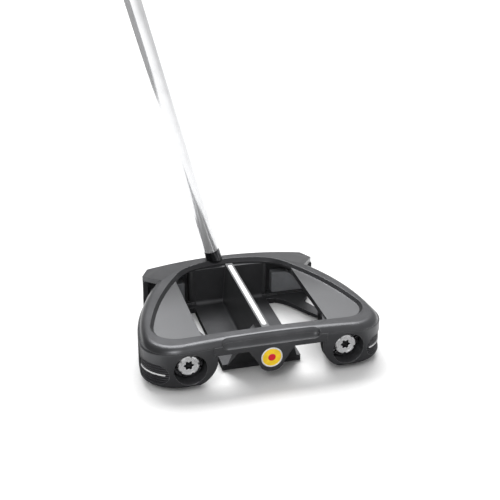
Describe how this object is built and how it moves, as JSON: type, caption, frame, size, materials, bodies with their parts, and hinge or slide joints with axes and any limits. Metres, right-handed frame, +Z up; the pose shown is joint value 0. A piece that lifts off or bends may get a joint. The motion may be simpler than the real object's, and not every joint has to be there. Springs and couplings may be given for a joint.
{
  "type": "mallet putter",
  "caption": "Right-handed mallet golf putter: open black head with a rib and sight line, screw-in rear weights, and a leaning steel shaft with a rubber grip.",
  "frame": {"origin": "on the ground at the sole's flat pad, under the sight line and midway between the face and the rear", "axes": "+X to the toe, +Y to the target out of the face, +Z up"},
  "size_m": [0.309, 0.1128, 0.835],
  "materials": {
    "black_body": "satin black anodised",
    "black_crown": "satin black anodised",
    "screw_steel": "blackened steel",
    "insert_polymer": "matt",
    "bond_foam": "matt",
    "line_inlay": "satin white",
    "badge_metal": "polished",
    "badge_yellow": "glossy enamel",
    "badge_red": "glossy enamel",
    "bush_steel": "turned",
    "ring_steel": "dark polished",
    "weight_steel": "polished",
    "corner_black": "satin",
    "trim_bright": "polished",
    "pad_grey": "satin",
    "neck_black": "black oxide",
    "shaft_chrome": "polished",
    "tape_white": "matt",
    "grip_rubber": "textured",
    "cap_plastic": "satin"
  },
  "bodies": {
    "club": {"chassis": "black_body", "crown_plate": "black_crown", "crown_screws": "screw_steel", "face_insert": "insert_polymer", "bond_pad": "bond_foam", "sight_line": "line_inlay", "badge_rim": "badge_metal", "badge_field": "badge_yellow", "badge_centre": "badge_red", "heel_port_bush": "bush_steel", "heel_corner_weight": "corner_black", "heel_corner_trim": "trim_bright", "heel_block_pad": "pad_grey", "toe_port_bush": "bush_steel", "toe_corner_weight": "corner_black", "toe_corner_trim": "trim_bright", "toe_block_pad": "pad_grey", "neck": "neck_black", "shaft": "shaft_chrome", "grip_tape": "tape_white", "grip": "grip_rubber", "grip_cap": "cap_plastic"},
    "heel_ring": {"heel_weight_ring": "ring_steel"},
    "heel_screw": {"heel_weight": "weight_steel"},
    "toe_ring": {"toe_weight_ring": "ring_steel"},
    "toe_screw": {"toe_weight": "weight_steel"}
  },
  "joints": [
    {"name": "heel_weight_out", "type": "slide", "parent": "club", "child": "heel_ring", "axis": [0, -1, 0], "range_m": [0, 0.011]},
    {"name": "heel_weight_turn", "type": "hinge", "parent": "heel_ring", "child": "heel_screw", "pos_m": [-0.0436, -0.052, 0.014], "axis": [0, -1, 0], "range_deg": [0, 3168]},
    {"name": "toe_weight_out", "type": "slide", "parent": "club", "child": "toe_ring", "axis": [0, -1, 0], "range_m": [0, 0.011]},
    {"name": "toe_weight_turn", "type": "hinge", "parent": "toe_ring", "child": "toe_screw", "pos_m": [0.0436, -0.052, 0.014], "axis": [0, -1, 0], "range_deg": [0, 3168]}
  ],
  "couplings": [
    {"joint": "heel_weight_turn", "follows": "heel_weight_out", "rad_per_m": 5026.5},
    {"joint": "toe_weight_turn", "follows": "toe_weight_out", "rad_per_m": 5026.5}
  ]
}
